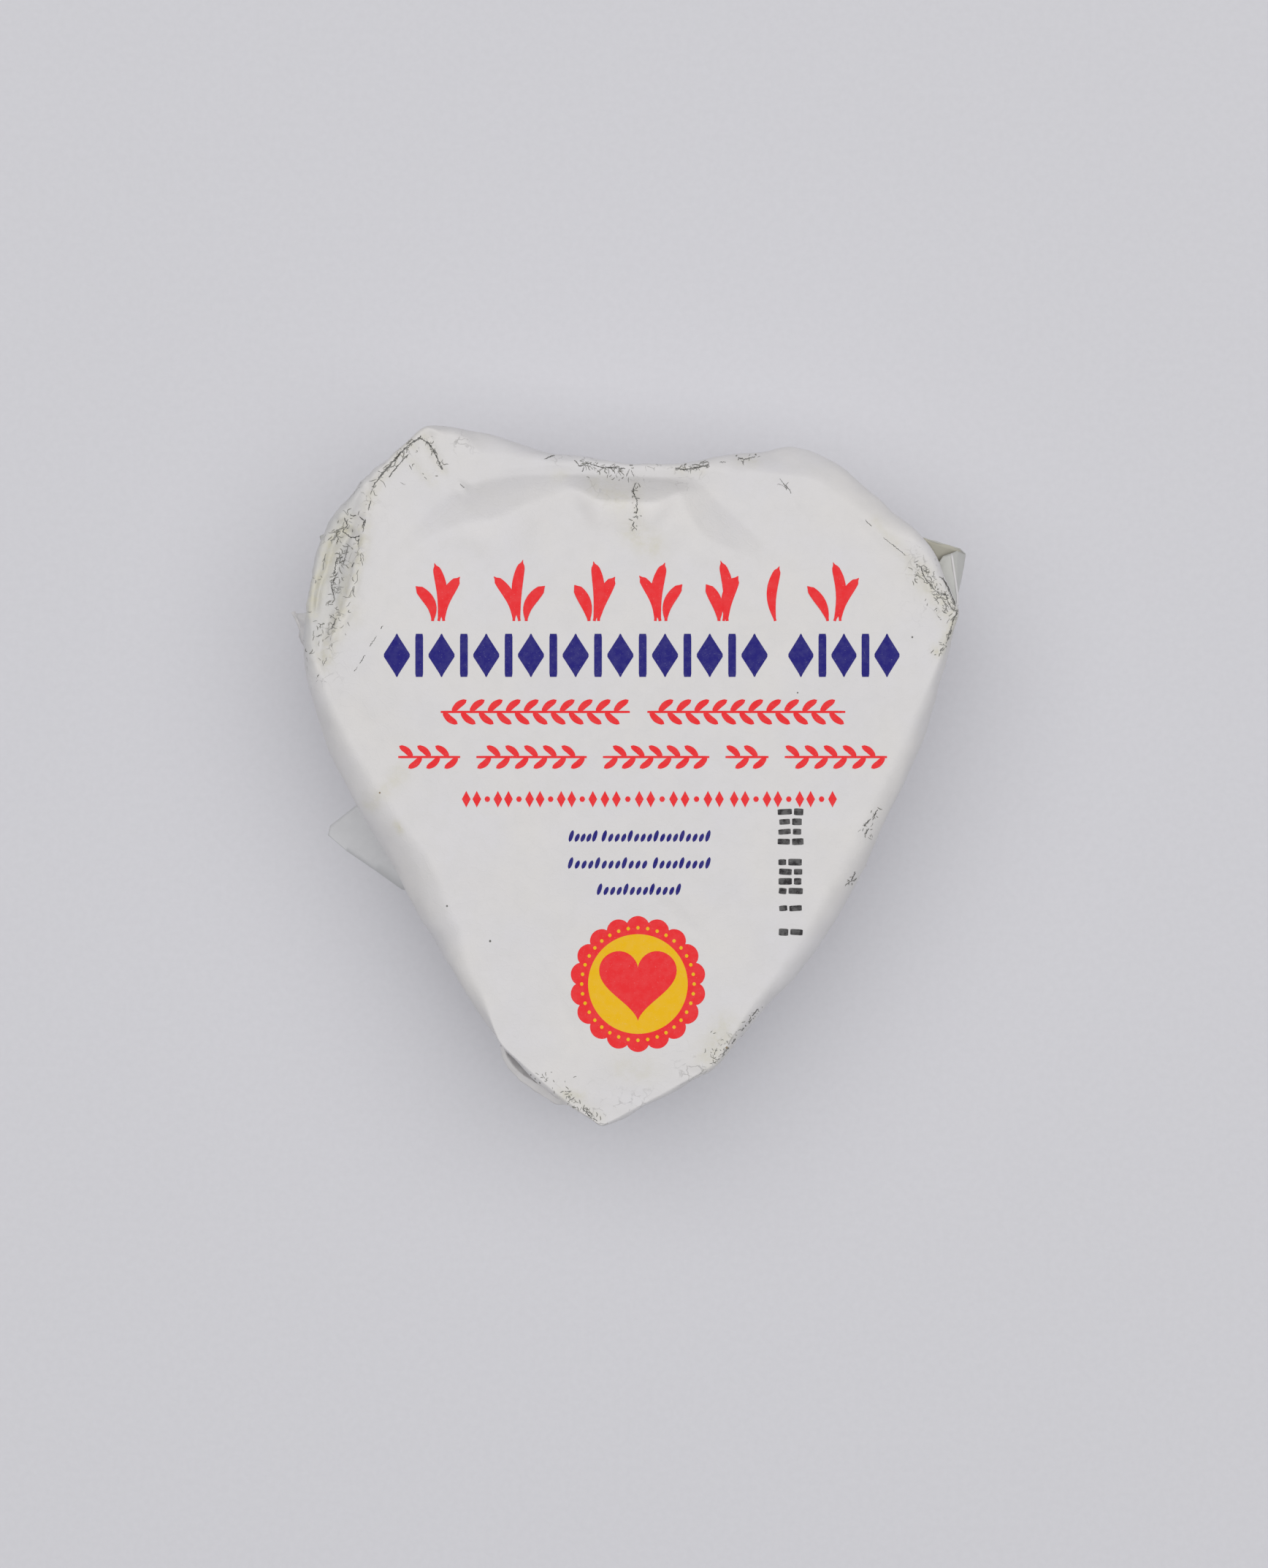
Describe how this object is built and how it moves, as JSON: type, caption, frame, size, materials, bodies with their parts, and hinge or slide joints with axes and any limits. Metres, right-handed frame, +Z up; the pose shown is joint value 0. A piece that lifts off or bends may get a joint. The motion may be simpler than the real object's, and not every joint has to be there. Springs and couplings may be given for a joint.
{
  "type": "wrapped heart-shaped soft cheese",
  "caption": "Small heart-shaped soft cheese shut in printed white waxed paper, pleated down its sides and folded flat underneath.",
  "frame": {"origin": "on the surface that the pack rests on, under the middle of its box", "axes": "+Z up; +Y from the heart's tip to its notch; +X towards the right lobe when the print is read"},
  "size_m": [0.1034, 0.1058, 0.0325],
  "materials": {
    "waxed_paper": "thin white waxed paper, softly glossy, crackled at its folds, with red, navy and black print"
  },
  "bodies": {
    "root": {"wrapped_cheese": "waxed_paper"}
  },
  "joints": []
}
